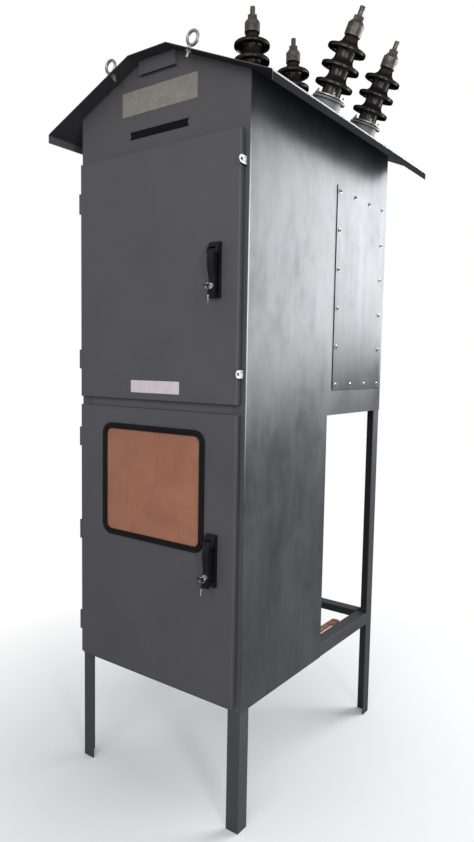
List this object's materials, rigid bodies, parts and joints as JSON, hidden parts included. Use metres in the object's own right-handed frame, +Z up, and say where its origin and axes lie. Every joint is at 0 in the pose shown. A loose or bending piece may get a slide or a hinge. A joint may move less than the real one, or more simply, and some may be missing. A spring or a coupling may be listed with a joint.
{
  "type": "outdoor switchgear kiosk",
  "caption": "Free-standing steel kiosk on angle legs with a windowed meter compartment, a high-voltage compartment above and ribbed porcelain bushings on its folded roof.",
  "frame": {"origin": "on the ground, under the middle of the whole object's outer box", "axes": "+Z up, +X to the right as one faces the doors, +Y from the doors to the rear"},
  "size_m": [0.98, 1.2256, 2.9235],
  "materials": {
    "grey_paint": "satin",
    "brown_glaze": "gloss",
    "galvanised_steel": "matte",
    "tarnished_metal": "matte",
    "zinc_plate": "satin",
    "black_rubber": "matte",
    "tinted_pane": "gloss",
    "black_plastic": "satin",
    "copper": "satin"
  },
  "bodies": {
    "kiosk": {"corner_posts": "grey_paint", "side_base_rails": "grey_paint", "rear_base_rail": "grey_paint", "left_wall": "grey_paint", "right_wall": "grey_paint", "access_panels": "grey_paint", "front_gable": "grey_paint", "rear_wall": "grey_paint", "lower_rear_wall": "grey_paint", "front_left_stile": "grey_paint", "front_right_stile": "grey_paint", "front_bottom_rail": "grey_paint", "front_middle_rail": "grey_paint", "upper_floor": "grey_paint", "lower_floor": "grey_paint", "roof": "grey_paint", "vent_hood": "grey_paint", "frame_hinges": "grey_paint", "padlock_lugs": "zinc_plate", "front_left_bushing": "brown_glaze", "front_middle_bushing": "brown_glaze", "front_right_bushing": "brown_glaze", "rear_left_bushing": "brown_glaze", "rear_middle_bushing": "brown_glaze", "rear_right_bushing": "brown_glaze", "bushing_turrets": "grey_paint", "bushing_clamps": "galvanised_steel", "bushing_terminals": "tarnished_metal", "eye_bolts": "zinc_plate", "earthing_bar": "copper"},
    "lower_door": {"lower_door": "grey_paint", "window_rubber": "black_rubber", "window_pane": "tinted_pane", "lower_door_hinges": "grey_paint", "lower_handle_plate": "black_plastic"},
    "upper_door": {"upper_door": "grey_paint", "upper_door_hinges": "grey_paint", "upper_handle_plate": "black_plastic"},
    "lower_lever": {"lower_lever": "black_plastic", "lower_lock": "zinc_plate", "lower_keys": "black_plastic"},
    "upper_lever": {"upper_lever": "black_plastic", "upper_lock": "zinc_plate", "upper_keys": "black_plastic"}
  },
  "joints": [
    {"name": "lower_door_hinge", "type": "hinge", "parent": "kiosk", "child": "lower_door", "pos_m": [-0.366, -0.53, 0.9095], "axis": [0, 0, -1], "range_deg": [0, 115]},
    {"name": "upper_door_hinge", "type": "hinge", "parent": "kiosk", "child": "upper_door", "pos_m": [-0.366, -0.53, 1.8305], "axis": [0, 0, -1], "range_deg": [0, 115]},
    {"name": "lower_lever_pivot", "type": "hinge", "parent": "lower_door", "child": "lower_lever", "pos_m": [0.271, -0.554, 0.9675], "axis": [-1, 0, 0], "range_deg": [-6, 29]},
    {"name": "upper_lever_pivot", "type": "hinge", "parent": "upper_door", "child": "upper_lever", "pos_m": [0.271, -0.554, 1.8885], "axis": [-1, 0, 0], "range_deg": [0, 35]}
  ]
}
